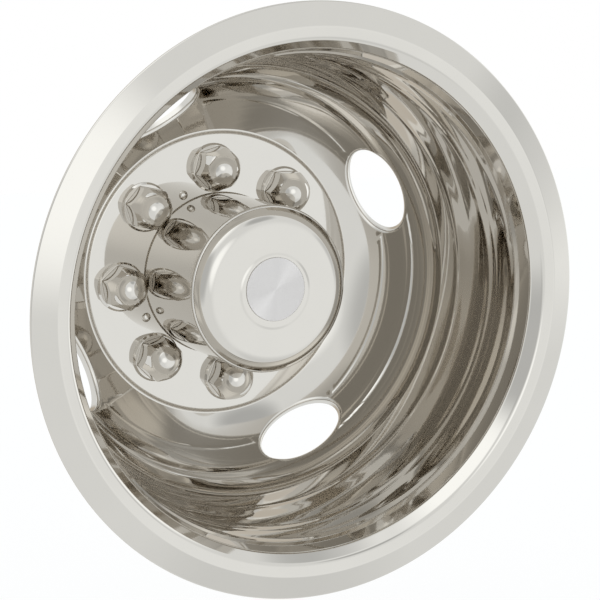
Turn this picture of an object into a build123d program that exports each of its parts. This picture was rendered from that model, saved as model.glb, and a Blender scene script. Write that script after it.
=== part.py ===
"""Deep cover for the outer wheel of a dual rear pair, in polished stainless sheet.

The wheel's axis is Y: the lug plate's back face lies at y = 0, the open face looks to -Y, and Z is up.
Angles round the axis run from +X towards +Z, as seen from the open face. Sizes are in millimetres, and
bends are given by their inside radius.
"""

import os
from itertools import cycle
from math import cos, radians, sin, sqrt, tan

from build123d import *

# Pattern of the wheel behind the cover
lug_count = 8
lug_circle = 165.1
hand_hole_count = 4
clock_angle = 26.3

# Liner: one drawn sheet from the hub hole to the hemmed lip
liner_sheet = 1.0
plate_margin = 6.95
plate_edge_width = 2.2
plate_edge_bend = 1.0
valley_drop = 2.2
valley_bend = 2.0
cone_angle = 26.0
cone_start_length = 1.8
cone_bow = 33.0
wall_angle = 57.0
wall_length = 8.3
foot_bend = 40.0
foot_angle = 80.0
foot_length = 37.8
barrel_bend = 80.0
barrel_taper = 4.15
draw_step_height = 1.6
draw_step_length = 3.0
draw_step_bend = 2.0
mouth_taper = 2.1
mouth_length = 11.2
mouth_bend = 4.0
shoulder_width = 6.6
shoulder_rise = 7.5
shoulder_bend = 5.0
crest_width = 8.3
crest_rise = 2.1
crest_bend = 2.0
lip_width = 17.8
lip_drop = 4.8
lip_depth = 169.0
hem_gap = 0.5
hem_tip_flat = 0.02
hem_length = 8.0

# Hand holes: ovals in the cone, with their edges turned back
hand_hole_width = 71.0
hand_hole_height = 38.8
hand_hole_share = 0.56
hand_hole_turn = -0.7
hand_hole_bend = 2.2
hand_hole_collar = 0.8

# Hub can: drawn cup that stands out through the plate
can_sheet = 0.8
can_length = 88.3
can_clearance = 0.95
can_foot_bend = 0.8
can_front_bend = 1.2
can_seam_gap = 0.1
can_flange_width = 2.5
collar_bend = 0.7
collar_length = 8.0

# Domed cap in the mouth of the can, and the disc on its seat
cap_sheet = 0.8
cap_inset = 1.85
cap_ledge = 4.4
cap_gap = 0.1
cap_crown_inset = 21.7
cap_crown_drop = 0.6
cap_crown_bend = 140.0
cap_shoulder_inset = 6.4
cap_shoulder_drop = 1.35
cap_shoulder_bend = 16.8
cap_edge_drop = 8.2
cap_fold_bend = 0.3
cap_skirt_bend = 1.0
cap_skirt_length = 9.0
seat_radius = 26.5
seat_bevel_width = 1.8
seat_bevel_drop = 0.4
seat_bend = 3.0
emblem_margin = 2.75
emblem_lift = 1.6
emblem_thickness = 0.8
emblem_chamfer = 0.25

# Rivets that hold the can's ears behind the plate
lugs_per_rivet = 2
rivet_offset = 6.4
rivet_radius = 2.0
rivet_gap = 0.05
rivet_head_radius = 3.6
rivet_head_height = 1.9
rivet_tail_radius = 3.0
rivet_tail_height = 1.2
rivet_ear_radius = 7.0

# Lug nut covers: pressed hex caps, crimped through the plate
cover_wall = 1.2
cover_flats = 30.0
cover_corner_bend = 0.6
cover_body_height = 13.0
cover_dome_margin = 0.5
cover_dome_angle = 62.0
cover_flange_width = 1.6
cover_flange_edge = 0.8
cover_bevel_height = 2.2
cover_shank_wall = 1.0
cover_bore_depth = 3.0
cover_hole_gap = 0.2
cover_crimp_width = 1.6
cover_crimp_thickness = 1.0
cover_turns = [0, 15, 48, 40, 15, 8, 30, 20]

# Spring clips inside the covers, which grip the wheel's own nuts
clip_sheet = 0.6
clip_gap = 0.1
clip_bend = 0.6
clip_bow = 2.0
clip_bow_radius = 7.0
clip_split = 5.0
clip_headroom = 2.0

os.makedirs("parts", exist_ok=True)

wheel_axis = Axis.Y
lug_pitch = 360 / lug_count
first_lug_angle = clock_angle + lug_pitch / 2
hand_hole_pitch = 360 / hand_hole_count
plate_face = -liner_sheet
lip_plane = plate_face - lip_depth

cover_corner_radius = cover_flats / sqrt(3)
cover_flange_radius = cover_corner_radius + cover_flange_width
cover_shank_radius = cover_flats / 2
cover_bore_radius = cover_shank_radius - cover_shank_wall
lug_hole_radius = cover_shank_radius + cover_hole_gap

can_radius = lug_circle / 2 - cover_flange_radius - can_clearance
can_front = plate_face - can_length
hub_hole_radius = can_radius + can_foot_bend + can_seam_gap
cap_radius = can_radius - cap_inset
collar_radius = cap_radius - cap_ledge

rivet_circle_radius = can_radius + rivet_offset
rivet_hole_radius = rivet_radius + rivet_gap
rivet_count = lug_count // lugs_per_rivet
rivet_span = rivet_count * lugs_per_rivet * lug_pitch


def around(radius, angle, y):
    """Point at a radius and an angle round the wheel's axis."""
    return (radius * cos(radians(angle)), y, radius * sin(radians(angle)))


def along(angle):
    """Way along the liner's section that rises at an angle from the plate to the open face."""
    return Vector(cos(radians(angle)), -sin(radians(angle)))


# Corners of the liner's front face, from the plate out to the lip
plate_edge = Vector(lug_circle / 2 + cover_flange_radius + plate_margin, plate_face)
valley = plate_edge + Vector(plate_edge_width, valley_drop)
cone_start = valley + along(cone_angle) * cone_start_length
cone_corner = cone_start + along(cone_angle) * cone_bow
cone_end = cone_corner + along(wall_angle) * cone_bow
wall_foot = cone_end + along(wall_angle) * wall_length
barrel_foot = wall_foot + along(foot_angle) * foot_length

mouth_depth = mouth_length + shoulder_rise + crest_rise - lip_drop
draw_step = Vector(barrel_foot.X + barrel_taper + draw_step_height, lip_plane + mouth_depth)
mouth_edge = draw_step + Vector(mouth_taper, -mouth_length)
shoulder = mouth_edge + Vector(shoulder_width, -shoulder_rise)
crest = shoulder + Vector(crest_width, -crest_rise)
lip_edge = crest + Vector(lip_width, lip_drop)

# Hem: the lip's edge folded back flat behind itself
lip_run = Vector(lip_width, lip_drop).normalized()
hem_width = 2 * liner_sheet + hem_gap
hem_bend = (hem_width - hem_tip_flat) / 2
hem_corner = lip_edge + Vector(-lip_run.Y, lip_run.X) * hem_width
hem_end = hem_corner - lip_run * hem_length

# Section of the bowed cone: its front, and points of its back
with BuildLine():
    cone_front = Bezier(cone_start, cone_corner, cone_end)
cone_back_points = []
for share in (0, 0.25, 0.5, 0.75, 1):
    rise = cone_front % share
    cone_back_points.append(cone_front @ share + Vector(-rise.Y, rise.X) * liner_sheet)

# Planes of the hand holes, which touch the cone's front
hand_hole_flange = liner_sheet + hand_hole_bend + hand_hole_collar
hand_hole_place = cone_front @ hand_hole_share
hand_hole_rise = cone_front % hand_hole_share
hand_hole_planes = []
for number in range(hand_hole_count):
    angle = clock_angle + hand_hole_turn + number * hand_hole_pitch
    hand_hole_planes.append(
        Plane(
            around(hand_hole_place.X, angle, hand_hole_place.Y),
            x_dir=around(1, angle + 90, 0),
            z_dir=around(hand_hole_rise.Y, angle, -hand_hole_rise.X),
        )
    )


def hole_rims(part, hole_plane):
    """Closed edges round one hand hole, from the rearmost to the foremost."""

    def place(edge):
        return hole_plane.to_local_coords(edge.center(CenterOf.MASS))

    near = part.edges().filter_by(lambda edge: place(edge).length < hand_hole_height / 2)
    return near.sort_by(lambda edge: place(edge).Z)


# Dish liner
with BuildPart() as dish_liner:
    with BuildSketch(Plane.XY):
        with BuildLine():
            FilletPolyline(
                (hub_hole_radius, plate_face),
                plate_edge,
                valley,
                cone_start,
                radius=[plate_edge_bend + liner_sheet, valley_bend],
            )
            offset(amount=liner_sheet, side=Side.LEFT)
        make_face()
        with BuildLine():
            add(cone_front)
            cone_back = Spline(cone_back_points, tangents=[cone_front % 0, cone_front % 1])
            Line(cone_front @ 0, cone_back @ 0)
            Line(cone_front @ 1, cone_back @ 1)
        make_face()
        with BuildLine():
            FilletPolyline(
                cone_end,
                wall_foot,
                barrel_foot,
                draw_step + Vector(-draw_step_height, draw_step_length),
                draw_step,
                mouth_edge,
                shoulder,
                crest,
                lip_edge,
                hem_corner,
                hem_end,
                radius=[
                    foot_bend,
                    barrel_bend,
                    draw_step_bend + liner_sheet,
                    draw_step_bend,
                    mouth_bend + liner_sheet,
                    shoulder_bend + liner_sheet,
                    crest_bend + liner_sheet,
                    hem_bend,
                    hem_bend,
                ],
            )
            offset(amount=liner_sheet, side=Side.LEFT)
        make_face()
    revolve(axis=wheel_axis)

    # Round holes in the plate for the nut covers and the rivets
    with BuildSketch(Plane.XZ.offset(-plate_face)):
        with PolarLocations(lug_circle / 2, lug_count, start_angle=first_lug_angle):
            Circle(lug_hole_radius)
        with PolarLocations(rivet_circle_radius, rivet_count, clock_angle, rivet_span):
            Circle(rivet_hole_radius)
    extrude(amount=-liner_sheet, mode=Mode.SUBTRACT)

    # Hand holes: a collar behind the cone, then the oval through both, then the turned edge
    for hole_plane in hand_hole_planes:
        with BuildSketch(hole_plane.offset(-hand_hole_flange)):
            Ellipse(hand_hole_width / 2 + liner_sheet, hand_hole_height / 2 + liner_sheet)
        extrude(until=Until.NEXT)
        with BuildSketch(hole_plane.offset(-2 * hand_hole_flange)):
            Ellipse(hand_hole_width / 2, hand_hole_height / 2)
        extrude(amount=4 * hand_hole_flange, mode=Mode.SUBTRACT)
        fillet(hole_rims(dish_liner, hole_plane)[-2], hand_hole_bend)
        fillet(hole_rims(dish_liner, hole_plane)[-1], hand_hole_bend + liner_sheet)
dish_liner.part.label = "dish_liner"
export_step(dish_liner.part, "parts/dish_liner.step")

# Hub can, flanged behind the plate, with an ear for each rivet
with BuildPart() as hub_can:
    with BuildSketch(Plane.XY):
        with BuildLine():
            FilletPolyline(
                (can_radius + can_flange_width, 0),
                (can_radius, 0),
                (can_radius, can_front),
                (collar_radius, can_front),
                (collar_radius, can_front + collar_length),
                radius=[can_foot_bend, can_front_bend + can_sheet, collar_bend + can_sheet],
            )
            offset(amount=can_sheet, side=Side.RIGHT)
        make_face()
    revolve(axis=wheel_axis)

    with BuildSketch(Plane.XZ):
        with PolarLocations(rivet_circle_radius, rivet_count, clock_angle, rivet_span):
            Circle(rivet_ear_radius)
            Circle(rivet_hole_radius, mode=Mode.SUBTRACT)
        Circle(can_radius + can_foot_bend, mode=Mode.SUBTRACT)
    extrude(amount=-can_sheet)
hub_can.part.label = "hub_can"
export_step(hub_can.part, "parts/hub_can.step")

# Domed cap: it sits on the can's front edge, with its skirt in the can's collar
cap_shoulder_y = can_front - cap_edge_drop
cap_crown_y = cap_shoulder_y - cap_shoulder_drop
cap_front = cap_crown_y - cap_crown_drop
cap_skirt_radius = collar_radius - cap_gap
with BuildPart() as hub_dome_cap:
    with BuildSketch(Plane.XY):
        with BuildLine():
            FilletPolyline(
                (0, cap_front),
                (seat_radius, cap_front),
                (seat_radius + seat_bevel_width, cap_front + seat_bevel_drop),
                (cap_radius - cap_crown_inset, cap_crown_y),
                (cap_radius - cap_shoulder_inset, cap_shoulder_y),
                (cap_radius, can_front),
                (cap_skirt_radius, can_front),
                (cap_skirt_radius, can_front + cap_skirt_length),
                radius=[
                    seat_bend + cap_sheet,
                    seat_bend,
                    cap_crown_bend,
                    cap_shoulder_bend + cap_sheet,
                    cap_fold_bend + cap_sheet,
                    cap_skirt_bend,
                ],
            )
            offset(amount=cap_sheet, side=Side.LEFT)
        make_face()
    revolve(axis=wheel_axis)
hub_dome_cap.part.label = "hub_dome_cap"
export_step(hub_dome_cap.part, "parts/hub_dome_cap.step")

# Plain disc on the cap's seat
with BuildPart() as emblem_disc:
    with BuildSketch(Plane.XZ.offset(-cap_front)):
        with Locations((0, emblem_lift)):
            Circle(seat_radius - emblem_margin)
    extrude(amount=emblem_thickness)
    chamfer(emblem_disc.edges().group_by(Axis.Y)[0], emblem_chamfer)
emblem_disc.part.label = "emblem_disc"
export_step(emblem_disc.part, "parts/emblem_disc.step")

# One rivet: its head stands on z = 0, and its tail is set behind the plate and the ear
rivet_grip = liner_sheet + can_sheet
rivet_end = -rivet_grip - rivet_tail_height
with BuildPart() as rivet:
    with BuildSketch(Plane.XZ):
        with BuildLine():
            TangentArc((0, rivet_head_height), (rivet_head_radius, 0), tangent=(1, 0))
            Polyline(
                (rivet_head_radius, 0),
                (rivet_radius, 0),
                (rivet_radius, -rivet_grip),
                (rivet_tail_radius, -rivet_grip),
                (rivet_tail_radius, rivet_end),
                (0, rivet_end),
                (0, rivet_head_height),
            )
        make_face()
    revolve(axis=Axis.Z)

with BuildPart(Plane.XZ.offset(-plate_face)) as hub_rivets:
    with PolarLocations(rivet_circle_radius, rivet_count, clock_angle, rivet_span):
        add(rivet.part)
hub_rivets.part.label = "hub_rivets"
export_step(hub_rivets.part, "parts/hub_rivets.step")

# Nut cover: a sphere on a cone that cuts the hexagon's corners at the body's height
cone_fall = radians(cover_dome_angle)
cover_dome_radius = cover_flats / 2 + cover_dome_margin
cover_cone_tip = cover_body_height + cover_corner_radius * tan(cone_fall)
cover_dome_centre = cover_cone_tip - cover_dome_radius / cos(cone_fall)
cover_back = -liner_sheet - cover_crimp_thickness


def domed_hexagon(inset, corner_bend, foot):
    """Hexagon under a dome, set in by a wall from the cover's outside, that stands on z = foot."""
    half_flats = cover_flats / 2 - inset
    with BuildPart() as body:
        with BuildSketch(Plane.XY.offset(foot)):
            hexagon = RegularPolygon(half_flats, 6, major_radius=False)
            fillet(hexagon.vertices(), corner_bend)
        extrude(amount=cover_cone_tip)
        with BuildSketch(Plane.XZ):
            with BuildLine():
                dome_start = 90 - cover_dome_angle
                dome = CenterArc(
                    (0, cover_dome_centre), cover_dome_radius - inset, dome_start, cover_dome_angle
                )
                cone = PolarLine(dome @ 0, half_flats, -cover_dome_angle)
                Polyline(cone @ 1, ((cone @ 1).X, foot), (0, foot), dome @ 1)
            make_face()
        revolve(axis=Axis.Z, mode=Mode.INTERSECT)
    return body.part


cover_body = domed_hexagon(0, cover_corner_bend + cover_wall, 0)
cover_cavity = domed_hexagon(cover_wall, cover_corner_bend, cover_bore_depth)
with BuildPart() as lug_nut_cover:
    add(cover_body)
    with BuildSketch(Plane.XZ):
        with BuildLine():
            Polyline(
                (0, cover_bevel_height),
                (cover_corner_radius, cover_bevel_height),
                (cover_flange_radius, cover_flange_edge),
                (cover_flange_radius, 0),
                (cover_shank_radius, 0),
                (cover_shank_radius, -liner_sheet),
                (cover_shank_radius + cover_crimp_width, -liner_sheet),
                (cover_shank_radius + cover_crimp_width, cover_back),
                (0, cover_back),
                close=True,
            )
        make_face()
    revolve(axis=Axis.Z)
    add(cover_cavity, mode=Mode.SUBTRACT)
    with BuildSketch(Plane.XY.offset(cover_back)):
        Circle(cover_bore_radius)
    extrude(amount=cover_bore_depth - cover_back, mode=Mode.SUBTRACT)

# Spring clip: a split hexagonal band, bowed in on every other side
clip_reach = cover_flats / 2 - cover_wall - clip_gap
clip_length = cover_body_height - cover_bore_depth - clip_headroom
with BuildPart() as lug_clip:
    with BuildSketch(Plane.XY.offset(cover_bore_depth)):
        band = RegularPolygon(clip_reach, 6, major_radius=False)
        fillet(band.vertices(), clip_bend + clip_sheet)
        with PolarLocations(clip_reach + clip_bow_radius - clip_bow, 3, start_angle=30):
            Circle(clip_bow_radius, mode=Mode.SUBTRACT)
        offset(amount=-clip_sheet, mode=Mode.SUBTRACT)
        with Locations((0, clip_reach)):
            Rectangle(clip_split, 4 * clip_sheet, mode=Mode.SUBTRACT)
    extrude(amount=clip_length)

# A cover and its clip at each lug, turned as the nuts behind them stand
for number, turn in zip(range(lug_count), cycle(cover_turns)):
    lug_angle = first_lug_angle + number * lug_pitch
    seat = Plane(around(lug_circle / 2, lug_angle, plate_face), x_dir=around(1, turn, 0), z_dir=(0, -1, 0))
    for name, piece in (("lug_nut_cover", lug_nut_cover), ("lug_clip", lug_clip)):
        with BuildPart(seat) as placed:
            add(piece.part)
        placed.part.label = f"{name}_{number + 1}"
        export_step(placed.part, f"parts/{name}_{number + 1}.step")
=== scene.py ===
"""Looks of the deep wheel cover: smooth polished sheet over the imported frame, in a pale studio.

Sizes are in millimetres, as radius and place along the wheel's axis, and become metres in each mesh.
Angles round the axis run from +X towards +Z, as seen from the open face.
"""

from math import cos, pi, radians, sin, sqrt, tan

import bpy
import numpy as np
from mathutils import Matrix, Vector


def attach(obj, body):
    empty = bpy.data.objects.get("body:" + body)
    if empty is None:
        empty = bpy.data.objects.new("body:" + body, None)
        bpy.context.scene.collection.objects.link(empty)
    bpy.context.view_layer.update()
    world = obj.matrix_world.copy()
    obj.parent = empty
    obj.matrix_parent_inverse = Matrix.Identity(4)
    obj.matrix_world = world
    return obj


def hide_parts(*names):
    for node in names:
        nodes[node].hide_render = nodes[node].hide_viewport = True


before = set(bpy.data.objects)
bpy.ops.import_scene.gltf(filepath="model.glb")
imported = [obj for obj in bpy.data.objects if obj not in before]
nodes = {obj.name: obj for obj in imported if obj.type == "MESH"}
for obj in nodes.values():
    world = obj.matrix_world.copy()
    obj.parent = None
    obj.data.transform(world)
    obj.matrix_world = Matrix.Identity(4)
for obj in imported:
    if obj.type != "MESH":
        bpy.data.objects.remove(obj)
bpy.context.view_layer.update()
BODY = "root"
MM = 0.001
TINY = 1e-9

# Pattern of the wheel
LUG_RADIUS = 165.1 / 2
LUG_COUNT = 8
CLOCK_ANGLE = 26.3
FIRST_LUG = CLOCK_ANGLE + 180 / LUG_COUNT
HAND_HOLES = 4
RIVETS = 4
RIVET_RADIUS = 69.08
RIVET_ANGLES = [radians(CLOCK_ANGLE + 360 / RIVETS * number) for number in range(RIVETS)]


def along(start, angle, length):
    """Point a length away from another in the liner's section, rising at an angle to the open face."""
    return (start[0] + length * cos(radians(angle)), start[1] - length * sin(radians(angle)))


# Liner sheet: its front face, from the hub hole to the bowed cone, and from there to the hem
LINER_SHEET = 1.0
PLATE_FACE = -LINER_SHEET
HUB_HOLE = 63.58
VALLEY = (110.62, 1.2)
CONE_START = along(VALLEY, 26, 1.8)
CONE_CORNER = along(CONE_START, 26, 33)
CONE_END = along(CONE_CORNER, 57, 33)
WALL_FOOT = along(CONE_END, 57, 10)
WALL_BEND = 38.0
WALL_END = (175.1, -151.0)
PLATE_CORNERS = [(HUB_HOLE, PLATE_FACE), (108.42, PLATE_FACE), VALLEY, CONE_START]
PLATE_BENDS = [2.0, 2.0]
LIP_CORNERS = [
    WALL_END,
    (176.7, -154.0),
    (178.8, -165.2),
    (185.4, -172.7),
    (193.7, -174.8),
    (211.5, -170.0),
    (210.85, -167.586),
    (203.13, -169.67),
]
LIP_BENDS = [2.0, 5.0, 6.0, 3.0, 1.24, 1.24]
LINER_TURNS = 288

# Rings left in the wall by the drawing, in millimetres: place as radius less depth, width and rise
DRAW_RINGS = [
    (151, 2, 0.10),
    (184, 5, 0.65),
    (246.5, 3, -0.2),
    (272, 11, 0.4),
    (290, 4, -0.3),
    (300, 2, -0.07),
    (317.5, 6, -0.35),
]
RING_STEPS = np.linspace(-2, 2, 9)

# Rows of the liner's mesh: the step along its face, the least gap, the room left at the ends of a run,
# the rows on the back of the wall, and how finely the cone and the wall's bend are first followed
WALL_STEP = 6.0
LEAST_GAP = 0.4
END_ROOM = 1.0
BACK_ROWS = 9
CONE_POINTS = 400
WALL_BEND_STEPS = 24

# Hand holes, as a run along the bowed cone
CONE_SPAN = 64.0
HOLE_WIDTH = 71.0
HOLE_HEIGHT = 38.8
HOLE_REACH = 0.56 * CONE_SPAN
HOLE_TURN = radians(-0.7)
HOLE_BEND = 2.2
HOLE_FLANGE = 4.0
HOLE_COLUMNS = 32
HOLE_RINGS = 18
HOLE_BEND_STEPS = 7
HOLE_TRIES = 12
LUG_HOLE = 15.2
LUG_COLUMNS = 22
LUG_RINGS = 3
PLATE_ROWS = 8

# Points round each bend, and the share of a run that its two bends may take up
BEND_STEPS = 6
BEND_ROOM = 0.98

# Hub can, domed cap and disc
CAN_SHEET = 0.8
CAN_FRONT = -89.3
CAN_CORNERS = [
    (65.18, 0),
    (62.68, 0),
    (62.68, CAN_FRONT),
    (56.43, CAN_FRONT),
    (56.43, CAN_FRONT + 8.0),
]
CAN_BENDS = [0.8, 2.0, 1.5]
CAP_SHEET = 0.8
CAP_FRONT = -99.45
CAP_CORNERS = [
    (0, CAP_FRONT),
    (26.5, CAP_FRONT),
    (28.9, CAP_FRONT + 0.62),
    (39.13, CAP_FRONT + 0.8),
    (54.43, CAP_FRONT + 1.95),
    (61.9, CAN_FRONT),
    (56.33, CAN_FRONT),
    (56.33, CAN_FRONT + 9.0),
]
CAP_BENDS = [4.5, 6.0, 140.0, 17.6, 0.7, 1.0]
EAR_RADIUS = 7.0
DISC_RADIUS = 23.75
DISC_LIFT = 1.6
DISC_THICKNESS = 0.8
DISC_EDGE = 0.55
HUB_TURNS = 240

# Rivets
RIVET_SHANK = 2.0
RIVET_HEAD = 3.6
RIVET_RISE = 1.9
RIVET_TAIL = 3.0
RIVET_TAIL_HEIGHT = 1.2
RIVET_EDGE = 0.3
RIVET_TURNS = 48

# Lug nut covers, in their own frame: z points out of the plate
COVER_WALL = 1.2
COVER_FLATS = 30.0
COVER_CORNER_BEND = 0.6
COVER_BODY = 13.0
COVER_DOME = 15.5
COVER_FALL = radians(62.0)
COVER_CORNER = COVER_FLATS / sqrt(3)
COVER_FLANGE = COVER_CORNER + 1.6
COVER_FLANGE_EDGE = 0.8
COVER_BEVEL = 2.2
COVER_BEVEL_REACH = COVER_CORNER + 0.1
COVER_SHANK = 15.0
COVER_BORE = 14.0
COVER_BORE_DEPTH = 3.0
COVER_CRIMP = 16.6
COVER_BACK = -2.0
COVER_LEDGE = 0.2
COVER_BENDS = [1.0, 0.4, 0.3, 0.25, 0.15, 0.1, 0.1, 0.1, 0.4, 0.3, 0.2, 0.1, 0.5]
COVER_TURNS = [0, 15, 48, 40, 15, 8, 30, 20]
COVER_COLUMNS = 180
COVER_DOME_STEPS = 14
COVER_BEND_STEPS = 4


def rounded(corners, bends, steps):
    """Line through the corners with each bend rounded: its points and its left normals."""
    corners = [np.array(corner, float) for corner in corners]
    runs = [b - a for a, b in zip(corners, corners[1:])]
    lengths = [np.linalg.norm(run) for run in runs]
    ways = [run / length for run, length in zip(runs, lengths)]
    lefts = [np.array((-way[1], way[0])) for way in ways]
    halves = [np.arccos(np.clip(a @ b, -1, 1)) / 2 for a, b in zip(ways, ways[1:])]
    reaches = [0.0] + [bend * tan(half) for bend, half in zip(bends, halves)] + [0.0]
    room = [
        min(1.0, BEND_ROOM * length / (a + b + TINY))
        for length, a, b in zip(lengths, reaches, reaches[1:])
    ]
    points, normals = [corners[0]], [lefts[0]]
    for number, half in enumerate(halves):
        before, after = ways[number], ways[number + 1]
        side = 1 if before[0] * after[1] > before[1] * after[0] else -1
        reach = reaches[number + 1] * min(room[number], room[number + 1])
        radius = reach / tan(half)
        corner = corners[number + 1]
        centre = corner - before * reach + side * lefts[number] * radius
        for step in range(steps + 1):
            angle = side * 2 * half * step / steps
            left = lefts[number] * cos(angle) - before * sin(angle)
            points.append(centre - side * radius * left)
            normals.append(left)
    points.append(corners[-1])
    normals.append(lefts[-1])
    return np.array(points), np.array(normals)


def spun(radius, y, angles):
    """Ring of points round the wheel's axis."""
    return np.column_stack([radius * np.cos(angles), np.full_like(angles, y), radius * np.sin(angles)])


class Surface:
    """Mesh made of rings of points, with a true normal at each corner of each face."""

    def __init__(self):
        self.points = []
        self.faces = []
        self.normals = []
        self.count = 0

    def ring(self, points):
        """Adds points and gives their numbers."""
        start = self.count
        self.points.append(np.asarray(points, float))
        self.count += len(points)
        return np.arange(start, self.count)

    def strip(self, first, second, first_normals, second_normals, keep=None):
        """Quads from one closed ring to the next, or only those columns that keep allows."""
        width = len(first)
        for column in range(width):
            if keep is not None and not keep[column]:
                continue
            after = (column + 1) % width
            self.faces.append((first[column], first[after], second[after], second[column]))
            near = (first_normals[column], first_normals[after])
            far = (second_normals[after], second_normals[column])
            self.normals.append(near + far)

    def fan(self, ring, tip, ring_normals, tip_normal):
        """Triangles from a closed ring to one point."""
        width = len(ring)
        for column in range(width):
            after = (column + 1) % width
            self.faces.append((ring[column], ring[after], tip))
            self.normals.append((ring_normals[column], ring_normals[after], tip_normal))

    def piece(self, name, node, slot, material):
        """Object that stands for a node of the frame."""
        points = np.vstack(self.points)
        faces, normals = [], []
        for face, corner_normals in zip(self.faces, self.normals):
            a, b, c = (points[index] for index in face[:3])
            outward = np.cross(b - a, c - a) @ np.sum(corner_normals, axis=0)
            if outward < 0:
                face, corner_normals = face[::-1], corner_normals[::-1]
            faces.append([int(index) for index in face])
            normals.extend(corner_normals)
        mesh = bpy.data.meshes.new(name)
        mesh.from_pydata((points * MM).tolist(), [], faces)
        mesh.polygons.foreach_set("use_smooth", [True] * len(faces))
        mesh.normals_split_custom_set([tuple(normal) for normal in normals])
        mesh.materials.append(material)
        piece = bpy.data.objects.new(name, mesh)
        bpy.context.scene.collection.objects.link(piece)
        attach(piece, BODY)
        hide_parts(node)


def sheet_of_revolution(surface, corners, bends, thickness, side, turns, steps):
    """Sheet turned round the wheel's axis: its face follows the corners, with the sheet on one side."""
    points, lefts = rounded(corners, bends, steps)
    inward = side * lefts
    angles = np.linspace(0, 2 * pi, turns, endpoint=False)
    line = np.vstack([points, (points + inward * thickness)[::-1]])
    facing = np.vstack([-inward, inward[::-1]])
    rings, ring_normals = [], []
    for (radius, y), (normal_r, normal_y) in zip(line, facing):
        if radius < TINY:
            rings.append(surface.ring([(0, y, 0)]))
        else:
            rings.append(surface.ring(spun(radius, y, angles)))
        ring_normals.append(spun(normal_r, normal_y, angles))
    total = len(rings)
    for number in range(total):
        after = (number + 1) % total
        first, second = rings[number], rings[after]
        first_normals, second_normals = ring_normals[number], ring_normals[after]
        crosses_edge = number in (len(points) - 1, total - 1)
        if len(first) == 1 and len(second) == 1:
            continue
        if crosses_edge:
            way = line[after] - line[number]
            across = np.array((way[1], -way[0])) / np.linalg.norm(way)
            across = across * np.sign(across @ (line[number] - line[number - 1]))
            first_normals = second_normals = spun(across[0], across[1], angles)
        if len(first) == 1:
            surface.fan(second, first[0], second_normals, first_normals[0])
        elif len(second) == 1:
            surface.fan(first, second[0], first_normals, second_normals[0])
        else:
            surface.strip(first, second, first_normals, second_normals)


def rippled(points, lefts):
    """Section with the draw rings raised on its face."""
    place = points[:, 0] - points[:, 1]
    ways = np.column_stack([lefts[:, 1], -lefts[:, 0]])
    rise, slope = np.zeros(len(place)), np.zeros(len(place))
    for middle, width, height in DRAW_RINGS:
        off = (place - middle) / width
        bell = height * np.exp(-(off**2))
        rise += bell
        slope -= 2 * off / width * bell * (ways[:, 0] - ways[:, 1])
    tilted = lefts + ways * slope[:, None]
    return points - lefts * rise[:, None], tilted / np.linalg.norm(tilted, axis=1)[:, None]


def cone_section(run):
    """Points of the bowed cone's section at runs along it, and its left normals."""
    share = np.asarray(run, float)[:, None] / CONE_SPAN
    first, middle, last = (np.array(corner) for corner in (CONE_START, CONE_CORNER, CONE_END))
    points = (1 - share) ** 2 * first + 2 * share * (1 - share) * middle + share**2 * last
    ways = (1 - share) * (middle - first) + share * (last - middle)
    ways = ways / np.linalg.norm(ways, axis=1)[:, None]
    return points, np.column_stack([-ways[:, 1], ways[:, 0]])


def places_along(first, last, step):
    """Places along the section, a step apart, and closer at the draw rings."""
    places = list(np.linspace(first, last, round((last - first) / step) + 1))
    for middle, width, _ in DRAW_RINGS:
        finer = middle + width * RING_STEPS
        places += [place for place in finer if first + END_ROOM < place < last - END_ROOM]
    places = np.sort(places)
    apart = np.append(True, np.diff(places) > LEAST_GAP)
    apart[-1] = True
    return places[apart]


def at_places(points, lefts, places):
    """Points and left normals of a section at places along it."""
    known = points[:, 0] - points[:, 1]
    rows = [np.interp(places, known, column) for column in np.column_stack([points, lefts]).T]
    points, lefts = np.column_stack(rows[:2]), np.column_stack(rows[2:])
    return points, lefts / np.linalg.norm(lefts, axis=1)[:, None]


def cone_place(hole_angle, swing, run):
    """Points on the cone's face and the ways it faces there, beside a hand hole."""
    angle = hole_angle + swing
    section, backs = rippled(*cone_section(run))
    turned = np.column_stack([np.cos(angle), np.ones_like(angle), np.sin(angle)])
    return turned * section[:, [0, 1, 0]], -turned * backs[:, [0, 1, 0]]


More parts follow.
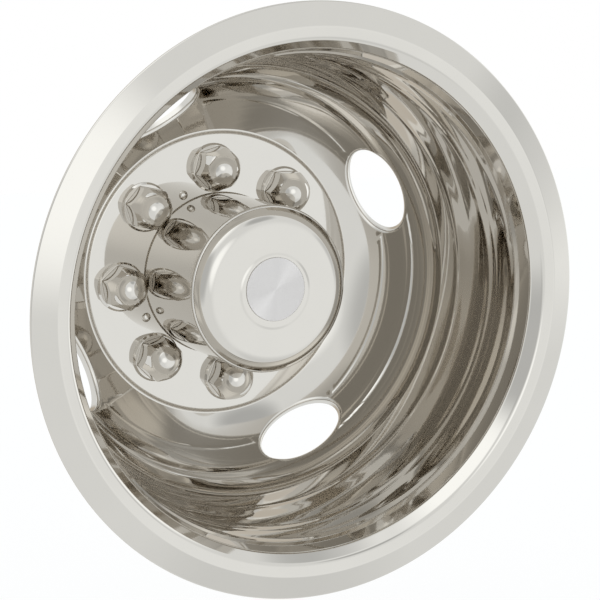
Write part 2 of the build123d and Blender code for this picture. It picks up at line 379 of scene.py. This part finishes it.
def hand_hole(surface, hole_angle, swing, run, face_edge, back_edge):
    """Fills one patch of the cone with an oval hole, its edge bent back round into a collar."""
    origin, facing = cone_place(hole_angle, np.zeros(1), np.full(1, HOLE_REACH))
    origin, out = origin[0], facing[0]
    aside = np.array((-sin(hole_angle), 0, cos(hole_angle)))
    up = np.cross(out, aside)
    up = up * np.sign(up @ np.array((cos(hole_angle), 0, sin(hole_angle))))
    half_width, half_height = HOLE_WIDTH / 2, HOLE_HEIGHT / 2
    bend = HOLE_BEND + LINER_SHEET
    centre_radius = np.hypot(origin[0], origin[2])

    turn = np.arctan2(
        (run - HOLE_REACH) / (half_height + bend),
        swing * centre_radius / (half_width + bend),
    )
    rim = np.outer(half_width * np.cos(turn), aside) + np.outer(half_height * np.sin(turn), up)
    away = np.outer(np.cos(turn) / half_width, aside) + np.outer(np.sin(turn) / half_height, up)
    away = away / np.linalg.norm(away, axis=1)[:, None]

    # Centre of the round bend: one bend radius from the collar and from the cone
    target = rim + bend * away
    bend_swing = target @ aside / centre_radius
    bend_run = HOLE_REACH + target @ up
    for _ in range(HOLE_TRIES):
        point, facing = cone_place(hole_angle, bend_swing, bend_run)
        miss = target - (point - bend * facing - origin)
        bend_swing = bend_swing + miss @ aside / centre_radius
        bend_run = bend_run + miss @ up
    point, facing = cone_place(hole_angle, bend_swing, bend_run)
    centre = point - bend * facing

    # Rings from the patch's border to the bend, round the bend, and down the collar
    _, edge_facing = cone_place(hole_angle, swing, run)
    face_rings, back_rings, face_normals = [face_edge], [back_edge], [edge_facing]
    for step in range(1, HOLE_RINGS + 1):
        share = step / HOLE_RINGS
        ring_point, ring_facing = cone_place(
            hole_angle, swing + (bend_swing - swing) * share, run + (bend_run - run) * share
        )
        face_rings.append(surface.ring(ring_point))
        back_rings.append(surface.ring(ring_point - LINER_SHEET * ring_facing))
        face_normals.append(ring_facing)
    sweep = np.arccos(np.clip(np.sum(-away * facing, axis=1), -1, 1))[:, None]
    for step in range(1, HOLE_BEND_STEPS + 1):
        share = step / HOLE_BEND_STEPS
        way = (np.sin((1 - share) * sweep) * facing - np.sin(share * sweep) * away) / np.sin(sweep)
        face_rings.append(surface.ring(centre + bend * way))
        back_rings.append(surface.ring(centre + HOLE_BEND * way))
        face_normals.append(way)
    end = origin + rim - HOLE_FLANGE * out
    face_rings.append(surface.ring(end))
    back_rings.append(surface.ring(end + LINER_SHEET * away))
    face_normals.append(-away)

    for number in range(len(face_rings) - 1):
        near, far = face_normals[number], face_normals[number + 1]
        surface.strip(face_rings[number], face_rings[number + 1], near, far)
        surface.strip(back_rings[number], back_rings[number + 1], -near, -far)
    behind = np.tile(-out, (len(rim), 1))
    surface.strip(face_rings[-1], back_rings[-1], behind, behind)


def lug_hole(surface, lug_angle, border, face_edge, back_edge):
    """Fills one patch of the plate with a round hole."""
    centre = np.array((LUG_RADIUS * cos(lug_angle), 0, LUG_RADIUS * sin(lug_angle)))
    away = border * np.array((1, 0, 1)) - centre
    rim = away * LUG_HOLE / np.linalg.norm(away, axis=1)[:, None]
    front = np.tile(np.array((0.0, -1.0, 0.0)), (len(border), 1))
    face_rings, back_rings = [face_edge], [back_edge]
    for step in range(1, LUG_RINGS + 1):
        flat = centre + away + (rim - away) * step / LUG_RINGS
        face_rings.append(surface.ring(flat + front * LINER_SHEET))
        back_rings.append(surface.ring(flat))
    for near, far in zip(face_rings, face_rings[1:]):
        surface.strip(near, far, front, front)
    for near, far in zip(back_rings, back_rings[1:]):
        surface.strip(near, far, -front, -front)
    surface.strip(face_rings[-1], back_rings[-1], -rim, -rim)


def liner(material):
    """The drawn sheet: rings round the axis, with a patch of the grid left open for each hole."""
    surface = Surface()
    plate, plate_backs = rounded(PLATE_CORNERS, PLATE_BENDS, BEND_STEPS)
    share = np.linspace(0, 1, PLATE_ROWS + 1)[:, None]
    plate = np.vstack([plate[0] + share * (plate[1] - plate[0]), plate[2:-1]])
    plate_backs = np.vstack([np.repeat(plate_backs[:1], PLATE_ROWS + 1, axis=0), plate_backs[2:-1]])
    lip, lip_backs = rounded(LIP_CORNERS, LIP_BENDS, BEND_STEPS)

    # Rows of the cone, which the patches share, and of the wall, finer on the face than on the back
    fine_runs = np.linspace(0, CONE_SPAN, CONE_POINTS)
    fine_cone, _ = cone_section(fine_runs)
    fine_places = fine_cone[:, 0] - fine_cone[:, 1]
    cone_places = places_along(fine_places[0], fine_places[-1], WALL_STEP)
    cone_runs = np.interp(cone_places, fine_places, fine_runs)
    cone, cone_backs = rippled(*cone_section(cone_runs))
    wall_line = rounded([CONE_END, WALL_FOOT, WALL_END], [WALL_BEND], WALL_BEND_STEPS)
    wall_ends = (fine_places[-1], WALL_END[0] - WALL_END[1])
    wall_places = places_along(*wall_ends, WALL_STEP)[1:-1]
    wall, wall_backs = rippled(*at_places(*wall_line, wall_places))
    rear, rear_backs = at_places(*wall_line, np.linspace(*wall_ends, BACK_ROWS)[1:-1])
    sections = {
        side: (np.vstack([plate, cone, line, lip]), np.vstack([plate_backs, cone_backs, backs, lip_backs]))
        for side, line, backs in ((-1, wall, wall_backs), (1, rear, rear_backs))
    }

    angles = radians(CLOCK_ANGLE) + np.linspace(0, 2 * pi, LINER_TURNS, endpoint=False)
    lug_pitch, hole_pitch = LINER_TURNS // LUG_COUNT, LINER_TURNS // HAND_HOLES
    lug_windows = [(lug_pitch - LUG_COLUMNS) // 2 + number * lug_pitch for number in range(LUG_COUNT)]
    hole_windows = [number * hole_pitch - HOLE_COLUMNS // 2 for number in range(HAND_HOLES)]

    def columns_kept(firsts, width):
        """Columns of the grid that no patch takes up."""
        keep = np.ones(LINER_TURNS, bool)
        for first in firsts:
            keep[np.arange(first, first + width) % LINER_TURNS] = False
        return keep

    plate_keep = columns_kept(lug_windows, LUG_COLUMNS)
    cone_keep = columns_kept(hole_windows, HOLE_COLUMNS)
    cone_first, cone_last = len(plate), len(plate) + len(cone) - 1
    plate_grids, cone_grids, ends = {}, {}, {}
    for side, thickness in ((-1, 0.0), (1, LINER_SHEET)):
        points, backs = sections[side]
        rings = [surface.ring(spun(radius, y, angles)) for radius, y in points + backs * thickness]
        normals = [spun(side * back[0], side * back[1], angles) for back in backs]
        plate_grids[side] = rings[: PLATE_ROWS + 1]
        cone_grids[side] = rings[cone_first : cone_last + 1]
        ends[side] = (rings[0], rings[-1])
        for number in range(len(rings) - 1):
            keep = None
            if number < PLATE_ROWS:
                keep = plate_keep
            elif cone_first <= number < cone_last:
                keep = cone_keep
            surface.strip(rings[number], rings[number + 1], normals[number], normals[number + 1], keep)

    # Cut edges of the sheet, at the hub hole and at the end of the hem
    hem_way = lip[-1] - lip[-2]
    hem_way = hem_way / np.linalg.norm(hem_way)
    for end, way in ((0, (-1.0, 0.0)), (1, hem_way)):
        normals = spun(way[0], way[1], angles)
        surface.strip(ends[-1][end], ends[1][end], normals, normals)

    def patches(grids, firsts, width):
        """Each open patch: its middle, and the rows, angles and points of its border."""
        rows = len(grids[1]) - 1
        border = [(0, column) for column in range(width)]
        border += [(row, width) for row in range(rows)]
        border += [(rows, column) for column in range(width, 0, -1)]
        border += [(row, 0) for row in range(rows, 0, -1)]
        border_rows = np.array([row for row, column in border])
        swing = np.array([(column - width / 2) * 2 * pi / LINER_TURNS for row, column in border])
        for first in firsts:
            edges = [
                np.array([grids[side][row][(first + column) % LINER_TURNS] for row, column in border])
                for side in (-1, 1)
            ]
            middle = radians(CLOCK_ANGLE) + (first + width / 2) * 2 * pi / LINER_TURNS
            yield middle, border_rows, swing, edges

    for middle, rows, swing, edges in patches(cone_grids, hole_windows, HOLE_COLUMNS):
        hand_hole(surface, middle + HOLE_TURN, swing - HOLE_TURN, cone_runs[rows], *edges)
    for middle, rows, swing, edges in patches(plate_grids, lug_windows, LUG_COLUMNS):
        radius, angle = plate[rows, 0], middle + swing
        border = np.column_stack([radius * np.cos(angle), np.zeros(len(rows)), radius * np.sin(angle)])
        lug_hole(surface, middle, border, *edges)
    surface.piece("polished_liner", "dish_liner", "polished_sheet", material)


def hub_can(material):
    """Drawn cup through the plate, with its ears behind."""
    surface = Surface()
    sheet_of_revolution(surface, CAN_CORNERS, CAN_BENDS, CAN_SHEET, -1, HUB_TURNS, BEND_STEPS)
    flange = CAN_CORNERS[0][0] - CAN_BENDS[0]
    for angle in RIVET_ANGLES:
        can_ear(surface, angle, flange)
    surface.piece("polished_hub_can", "hub_can", "polished_sheet", material)


def can_ear(surface, angle, flange):
    """Round ear behind the plate, cut off at the can's flange, with a hole for its rivet."""
    turn = np.linspace(0, 2 * pi, RIVET_TURNS, endpoint=False)
    radial, tangent = np.cos(turn), np.sin(turn)
    inside = np.maximum(flange**2 - (RIVET_RADIUS * tangent) ** 2, 0)
    to_flange = -RIVET_RADIUS * radial - np.sqrt(inside)
    reach = np.where((radial < 0) & (to_flange > 0), np.minimum(EAR_RADIUS, to_flange), EAR_RADIUS)

    def flat(size, y):
        out, aside = RIVET_RADIUS + size * radial, size * tangent
        x = out * cos(angle) - aside * sin(angle)
        z = out * sin(angle) + aside * cos(angle)
        return np.column_stack([x, np.full_like(out, y), z])

    rings = [
        surface.ring(flat(size, y))
        for size, y in ((RIVET_SHANK, 0.0), (reach, 0.0), (reach, CAN_SHEET), (RIVET_SHANK, CAN_SHEET))
    ]
    sides = flat(1.0, 0.0) - flat(0.0, 0.0)
    front = np.tile(np.array((0.0, -1.0, 0.0)), (RIVET_TURNS, 1))
    for number, normals in enumerate((front, sides, -front, -sides)):
        surface.strip(rings[number], rings[(number + 1) % len(rings)], normals, normals)


def hub_cap(material):
    """Domed cap with its skirt in the can's mouth."""
    surface = Surface()
    sheet_of_revolution(surface, CAP_CORNERS, CAP_BENDS, CAP_SHEET, 1, HUB_TURNS, BEND_STEPS)
    surface.piece("polished_hub_cap", "hub_dome_cap", "polished_sheet", material)


def turned_solid(surface, line, normals, place, turns):
    """Solid turned round a local axis, from one tip to the other, put in place by a function."""
    angles = np.linspace(0, 2 * pi, turns, endpoint=False)
    rings, ring_normals = [], []
    for (radius, z), (normal_r, normal_z) in zip(line, normals):
        around = np.column_stack([np.cos(angles), np.sin(angles), np.ones(turns)])
        if radius < TINY:
            rings.append(surface.ring(place(np.array([(0.0, 0.0, z)]))))
        else:
            rings.append(surface.ring(place(around * (radius, radius, z))))
        ring_normals.append(place(around * (normal_r, normal_r, normal_z)) - place(np.zeros((turns, 3))))
    for number in range(len(rings) - 1):
        first, second = rings[number], rings[number + 1]
        if len(first) == 1:
            surface.fan(second, first[0], ring_normals[number + 1], ring_normals[number][0])
        elif len(second) == 1:
            surface.fan(first, second[0], ring_normals[number], ring_normals[number + 1][0])
        else:
            surface.strip(first, second, ring_normals[number], ring_normals[number + 1])


def out_of_plate(radius, angle, y, turn=0.0):
    """Function that puts local points, with z out of the plate, at a place round the wheel's axis."""
    origin = np.array((radius * cos(angle), y, radius * sin(angle)))
    axes = np.array([(cos(turn), 0, sin(turn)), (-sin(turn), 0, cos(turn)), (0, -1, 0)])
    return lambda points: origin + points @ axes


def disc(material):
    """Plain round disc on the cap's seat, with an eased edge."""
    surface = Surface()
    corners = [
        (0, DISC_THICKNESS),
        (DISC_RADIUS, DISC_THICKNESS),
        (DISC_RADIUS, 0),
        (0, 0),
    ]
    line, lefts = rounded(corners, [DISC_EDGE, DISC_EDGE / 4], BEND_STEPS)
    turned_solid(surface, line, lefts, out_of_plate(DISC_LIFT, pi / 2, CAP_FRONT), HUB_TURNS)
    surface.piece("emblem_plain_disc", "emblem_disc", "brushed_disc", material)


def rivets(material):
    """Domed heads on the plate, with shanks and upset tails behind the can's ears."""
    surface = Surface()
    dome = (RIVET_HEAD**2 + RIVET_RISE**2) / (2 * RIVET_RISE)
    grip = -LINER_SHEET - CAN_SHEET
    steps = np.linspace(0, np.arcsin(RIVET_HEAD / dome), BEND_STEPS + 2)
    head = np.column_stack([dome * np.sin(steps), RIVET_RISE - dome + dome * np.cos(steps)])
    head_normals = np.column_stack([np.sin(steps), np.cos(steps)])
    tail, tail_lefts = rounded(
        [
            (RIVET_HEAD, 0),
            (RIVET_SHANK, 0),
            (RIVET_SHANK, grip),
            (RIVET_TAIL, grip),
            (RIVET_TAIL, grip - RIVET_TAIL_HEIGHT),
            (0, grip - RIVET_TAIL_HEIGHT),
        ],
        [RIVET_EDGE / 2, RIVET_EDGE / 2, RIVET_EDGE, RIVET_EDGE],
        BEND_STEPS // 2,
    )
    line = np.vstack([head, tail])
    normals = np.vstack([head_normals, tail_lefts])
    for angle in RIVET_ANGLES:
        turned_solid(surface, line, normals, out_of_plate(RIVET_RADIUS, angle, PLATE_FACE), RIVET_TURNS)
    surface.piece("bright_rivets", "hub_rivets", "rivet_steel", material)


def hexagon_reach(angles, half_flats, bend):
    """Distance from the middle to a hexagon with rounded corners, a corner lying at angle 0."""
    off_flat = (angles % (pi / 3)) - pi / 6
    flat = half_flats / np.cos(off_flat)
    corner_centre = (half_flats - bend) / cos(pi / 6)
    off_corner = pi / 6 - np.abs(off_flat)
    inside = np.maximum(bend**2 - (corner_centre * np.sin(off_corner)) ** 2, 0)
    corner = corner_centre * np.cos(off_corner) + np.sqrt(inside)
    on_flat = half_flats * np.tan(np.abs(off_flat)) <= (half_flats - bend) * tan(pi / 6)
    return np.where(on_flat, flat, corner)


def cover_lines():
    """Outline of a nut cover in each plane through its axis, from the outer tip to the inner tip."""
    tip = COVER_BODY + COVER_CORNER * tan(COVER_FALL)
    centre = tip - COVER_DOME / cos(COVER_FALL)
    angles = np.linspace(0, 2 * pi, COVER_COLUMNS, endpoint=False)
    outer = hexagon_reach(angles, COVER_FLATS / 2, COVER_CORNER_BEND + COVER_WALL)
    inner = hexagon_reach(angles, COVER_FLATS / 2 - COVER_WALL, COVER_CORNER_BEND)
    sweep = np.linspace(0, COVER_FALL, COVER_DOME_STEPS)
    outer_dome, inner_dome = (
        np.column_stack([radius * np.sin(sweep), centre + radius * np.cos(sweep)])
        for radius in (COVER_DOME, COVER_DOME - COVER_WALL)
    )

    def on_slope(dome, reach):
        """Point where the slope below a dome comes to a reach from the axis."""
        return (reach, dome[-1][1] - (reach - dome[-1][0]) * tan(COVER_FALL))

    lines = []
    for outer_reach, inner_reach in zip(outer, inner):
        corners = [
            outer_dome[-1],
            on_slope(outer_dome, outer_reach),
            (outer_reach, COVER_BEVEL),
            (COVER_BEVEL_REACH, COVER_BEVEL),
            (COVER_FLANGE, COVER_FLANGE_EDGE),
            (COVER_FLANGE, 0),
            (COVER_SHANK, 0),
            (COVER_SHANK, -LINER_SHEET),
            (COVER_CRIMP, -LINER_SHEET),
            (COVER_CRIMP, COVER_BACK),
            (COVER_BORE, COVER_BACK),
            (COVER_BORE, COVER_BORE_DEPTH),
            (inner_reach, COVER_BORE_DEPTH + COVER_LEDGE),
            on_slope(inner_dome, inner_reach),
            inner_dome[-1],
        ]
        middle, _ = rounded(corners, COVER_BENDS, COVER_BEND_STEPS)
        lines.append(np.vstack([outer_dome[:-1], middle, inner_dome[-2::-1]]))
    return angles, np.array(lines)


def nut_covers(material):
    """The hex covers, one mesh each, turned as they happen to sit."""
    angles, lines = cover_lines()
    radius, height = lines[:, :, 0], lines[:, :, 1]
    across, upward = np.cos(angles)[:, None], np.sin(angles)[:, None]
    grid = np.stack([radius * across, radius * upward, height], axis=2)
    round_way = np.roll(grid, -1, axis=0) - np.roll(grid, 1, axis=0)
    down_way = np.gradient(grid, axis=1)
    normals = np.cross(round_way, down_way)
    length = np.linalg.norm(normals, axis=2)
    normals = normals / np.maximum(length, TINY)[:, :, None]
    outward = np.sign(normals[0, COVER_DOME_STEPS // 2] @ grid[0, COVER_DOME_STEPS // 2])
    normals = normals * outward
    normals[:, 0] = (0, 0, 1)
    normals[:, -1] = (0, 0, -1)
    last = grid.shape[1] - 1
    for number in range(LUG_COUNT):
        angle = radians(FIRST_LUG + 360 / LUG_COUNT * number)
        place = out_of_plate(LUG_RADIUS, angle, PLATE_FACE, radians(COVER_TURNS[number]))
        turn = out_of_plate(0, 0, 0, radians(COVER_TURNS[number]))
        surface = Surface()
        rings = [surface.ring(place(grid[:1, 0]))]
        rings += [surface.ring(place(grid[:, column])) for column in range(1, last)]
        rings.append(surface.ring(place(grid[:1, last])))
        facing = [turn(normals[:, column]) for column in range(last + 1)]
        surface.fan(rings[1], rings[0][0], facing[1], facing[0][0])
        for column in range(1, last - 1):
            surface.strip(rings[column], rings[column + 1], facing[column], facing[column + 1])
        surface.fan(rings[last - 1], rings[last][0], facing[last - 1], facing[last][0])
        name = f"lug_nut_cover_{number + 1}"
        surface.piece(f"polished_{name}", name, "plated_cover", material)


# Finish of the metals: colours, ranges of roughness, and noise in turns a metre
POLISH = (0.63, 0.60, 0.555)
POLISH_STAINED = tuple(0.96 * value for value in POLISH)
POLISH_ROUGHNESS = (0.01, 0.06)
WAVE_SCALE = 14.0
STAIN_SCALE = 30.0
HAZE_SCALE = 90.0
SPUN_COLOURS = ((0.80, 0.77, 0.755), (0.93, 0.90, 0.88))
SPUN_ROUGHNESS = (0.42, 0.52)
GROOVE_SCALE = 9000.0
SPRING_COLOURS = ((0.33, 0.33, 0.34), (0.46, 0.46, 0.47))
SPRING_ROUGHNESS = (0.25, 0.45)
GRAIN_SCALE = 400.0
GRAIN_DEPTH = 0.02


class Shading:
    """Node tree of a material or the world, written as calls that return sockets."""

    def __init__(self, owner):
        owner.use_nodes = True
        self.tree = owner.node_tree

    def add(self, kind, inputs, output=0, **settings):
        """Adds a node with its inputs, each a value or a socket, and gives one of its outputs."""
        made = self.tree.nodes.new("ShaderNode" + kind)
        for name, value in settings.items():
            setattr(made, name, value)
        for name, value in inputs.items():
            self.put(made.inputs[name], value)
        return made.outputs[output]

    def put(self, socket, value):
        """Links a socket to an input, or sets the input to a value."""
        if isinstance(value, bpy.types.NodeSocket):
            self.tree.links.new(value, socket)
        else:
            socket.default_value = value

    def math(self, operation, *values):
        return self.add("Math", dict(enumerate(values)), operation=operation)

    def noise(self, vector, scale, detail):
        inputs = {"Vector": vector, "Scale": scale, "Detail": detail}
        return self.add("TexNoise", inputs, "Fac")

    def between(self, value, low, high):
        """Value from 0 to 1 stretched to lie between two others."""
        return self.add("MapRange", {"Value": value, "To Min": low, "To Max": high})

    def mix(self, share, first, second):
        """Colour between two others, each a colour or a socket."""
        ends = [end if isinstance(end, bpy.types.NodeSocket) else (*end, 1) for end in (first, second)]
        return self.add("Mix", {0: share, 6: ends[0], 7: ends[1]}, 2, data_type="RGBA")


def polished_metal(name, waves):
    """Mirror polished sheet, slightly wavy, with faint stains and marks of the polishing wheel."""
    material = bpy.data.materials.new(name)
    shading = Shading(material)
    shader = shading.tree.nodes["Principled BSDF"]
    place = shading.add("TexCoord", {}, "Object")
    height = shading.math("MULTIPLY", shading.noise(place, WAVE_SCALE, 1.0), waves)
    bump = shading.add("Bump", {"Strength": 1.0, "Distance": MM, "Height": height})
    stain = shading.noise(place, STAIN_SCALE, 4.0)
    shading.put(shader.inputs["Base Color"], shading.mix(stain, POLISH, POLISH_STAINED))
    shader.inputs["Metallic"].default_value = 1
    haze = shading.noise(place, HAZE_SCALE, 3.0)
    shading.put(shader.inputs["Roughness"], shading.between(haze, *POLISH_ROUGHNESS))
    shading.put(shader.inputs["Normal"], bump)
    return material


def spun_metal(name):
    """Satin disc with fine rings from spinning, which spread the light into two bright fans."""
    material = bpy.data.materials.new(name)
    shading = Shading(material)
    shader = shading.tree.nodes["Principled BSDF"]
    place = shading.add("TexCoord", {}, "Object")
    off_centre = shading.add("VectorMath", {0: place, 1: (0, 0, -DISC_LIFT * MM)}, operation="ADD")
    flat = shading.add("VectorMath", {0: off_centre, 1: (1, 0, 1)}, operation="MULTIPLY")
    radius = shading.add("VectorMath", {0: flat}, "Value", operation="LENGTH")
    rings = {"W": radius, "Scale": GROOVE_SCALE, "Detail": 2.0}
    groove = shading.add("TexNoise", rings, "Fac", noise_dimensions="1D")
    shader.inputs["Metallic"].default_value = 1
    shader.inputs["Anisotropic"].default_value = 1
    shading.put(shader.inputs["Base Color"], shading.mix(groove, *SPUN_COLOURS))
    shading.put(shader.inputs["Roughness"], shading.between(groove, *SPUN_ROUGHNESS))
    tangent = shading.add("Tangent", {}, direction_type="RADIAL", axis="Y")
    shading.put(shader.inputs["Tangent"], tangent)
    return material


def spring_metal(name):
    """Plain rolled strip, with a dull grain."""
    material = bpy.data.materials.new(name)
    shading = Shading(material)
    shader = shading.tree.nodes["Principled BSDF"]
    place = shading.add("TexCoord", {}, "Object")
    grain = shading.noise(place, GRAIN_SCALE, 4.0)
    shading.put(shader.inputs["Base Color"], shading.mix(grain, *SPRING_COLOURS))
    shader.inputs["Metallic"].default_value = 1
    shading.put(shader.inputs["Roughness"], shading.between(grain, *SPRING_ROUGHNESS))
    bump = shading.add("Bump", {"Strength": 0.5, "Distance": GRAIN_DEPTH * MM, "Height": grain})
    shading.put(shader.inputs["Normal"], bump)
    return material


# The pieces, with the height of the waves in the polish in millimetres
polished = polished_metal("polished_stainless", waves=0.06)
plated = polished_metal("polished_cover_steel", waves=0.03)
spun_steel = spun_metal("spun_disc_steel")
spring_steel = spring_metal("spring_steel")

liner(polished)
hub_can(polished)
hub_cap(polished)
disc(spun_steel)
rivets(plated)
nut_covers(plated)
for number in range(LUG_COUNT):
    clip = nodes[f"lug_clip_{number + 1}"]
    clip.data.materials.clear()
    clip.data.materials.append(spring_steel)

# Camera at the photograph's viewing angle, aimed at the middle of the lip
CAMERA_AZIMUTH = radians(-27.46)
CAMERA_ELEVATION = radians(9.81)
CAMERA_ROLL = radians(0.44)
CAMERA_DISTANCE = 1.3059
CAMERA_AIM = Vector((0, -0.170, 0))
PICTURE = 600
FOCAL_SHARE = 1868 / PICTURE
AXIS_PIXEL = (319.86, 306.36)
SENSOR = 36

back = Vector(
    (
        sin(CAMERA_AZIMUTH) * cos(CAMERA_ELEVATION),
        -cos(CAMERA_AZIMUTH) * cos(CAMERA_ELEVATION),
        sin(CAMERA_ELEVATION),
    )
)
camera_data = bpy.data.cameras.new("camera")
camera_data.sensor_width = SENSOR
camera_data.lens = SENSOR * FOCAL_SHARE
camera_data.shift_x = (PICTURE / 2 - AXIS_PIXEL[0]) / PICTURE
camera_data.shift_y = (AXIS_PIXEL[1] - PICTURE / 2) / PICTURE
camera = bpy.data.objects.new("camera", camera_data)
bpy.context.scene.collection.objects.link(camera)
aim = (-back).to_track_quat("-Z", "Y").to_matrix().to_4x4()
stand = Matrix.Translation(CAMERA_AIM + back * CAMERA_DISTANCE)
camera.matrix_world = stand @ aim @ Matrix.Rotation(CAMERA_ROLL, 4, "Z")
bpy.context.scene.camera = camera

# Studio: a white room with soft boxes and flags, each an azimuth from the open face towards +X,
# an elevation, a half width, a soft margin and what it adds to the light
SOFT_BOXES = [
    (-55, 55, 21, 10, 0.52),
    (-8, 8, 10, 8, 0.50),
    (86, 6, 22, 9, 0.46),
    (-52, 8, 22, 8, -0.34),
    (20, 44, 10, 5, -0.42),
    (28, 64, 12, 8, 0.16),
    (80, 66, 14, 8, -0.35),
    (55, 3, 8, 6, -0.26),
    (28, -10, 24, 14, 0.14),
    (28, -44, 12, 8, -0.12),
]
ROOM_LIGHT = 1.06
ROOM_COLOUR = (0.965, 1.0, 1.02)
BEHIND_COLOUR = (0.62, 0.56, 0.47)
BEHIND_PATCH = (180, 0, 42, 20)
WHITE = (1, 1, 1)
FLOOR_HEIGHT = -0.40
FLOOR_HALF = 4.0
FLOOR_GREY = 0.95
FLOOR_WHITENESS = 0.7


def aimed(azimuth, elevation):
    """Way that a soft box is seen from the object."""
    azimuth, elevation = radians(azimuth), radians(elevation)
    return (sin(azimuth) * cos(elevation), -cos(azimuth) * cos(elevation), sin(elevation))


def patch(shading, way, azimuth, elevation, half_width, margin):
    """Soft round patch on the world: 1 inside it and 0 outside."""
    towards = {0: way, 1: aimed(azimuth, elevation)}
    inputs = {
        "Value": shading.add("VectorMath", towards, "Value", operation="DOT_PRODUCT"),
        "From Min": cos(radians(half_width + margin)),
        "From Max": cos(radians(half_width - margin)),
    }
    return shading.add("MapRange", inputs, interpolation_type="SMOOTHSTEP")


def studio_world():
    """Room that lights the cover and shows in it, and is white to the camera."""
    world = bpy.data.worlds.new("studio")
    shading = Shading(world)
    way = shading.add("TexCoord", {}, "Generated")
    light = ROOM_LIGHT
    for *box, strength in SOFT_BOXES:
        light = shading.math("MULTIPLY_ADD", patch(shading, way, *box), strength, light)
    room = shading.add("VectorMath", {0: ROOM_COLOUR, "Scale": light}, operation="SCALE")
    seen = shading.mix(patch(shading, way, *BEHIND_PATCH), room, BEHIND_COLOUR)
    straight = shading.add("LightPath", {}, "Is Camera Ray")
    colour = shading.mix(straight, seen, WHITE)
    shading.put(shading.tree.nodes["Background"].inputs["Color"], colour)
    bpy.context.scene.world = world


def studio_floor():
    """Pale floor well below the cover: white where it is plainly lit, and still shadowed."""
    mesh = bpy.data.meshes.new("studio_floor")
    corners = [(x * FLOOR_HALF, y * FLOOR_HALF, 0) for x, y in ((-1, -1), (1, -1), (1, 1), (-1, 1))]
    mesh.from_pydata(corners, [], [(0, 1, 2, 3)])
    floor = bpy.data.objects.new("studio_floor", mesh)
    floor.location = (0, 0, FLOOR_HEIGHT)
    floor.visible_glossy = False
    bpy.context.scene.collection.objects.link(floor)
    material = bpy.data.materials.new("pale_floor")
    shading = Shading(material)
    shader = shading.tree.nodes["Principled BSDF"]
    shader.inputs["Base Color"].default_value = (FLOOR_GREY, FLOOR_GREY, FLOOR_GREY, 1)
    shader.inputs["Roughness"].default_value = 0.9
    shader.inputs["Specular IOR Level"].default_value = 0
    white = shading.add("Emission", {"Color": (*WHITE, 1), "Strength": 1.0})
    straight = shading.add("LightPath", {}, "Is Camera Ray")
    share = shading.math("MULTIPLY", straight, FLOOR_WHITENESS)
    seen = shading.add("MixShader", {0: share, 1: shader.outputs[0], 2: white})
    shading.put(shading.tree.nodes["Material Output"].inputs["Surface"], seen)
    mesh.materials.append(material)


studio_world()
studio_floor()
bpy.context.scene.view_settings.view_transform = "Standard"
bpy.context.scene.cycles.glossy_bounces = 12
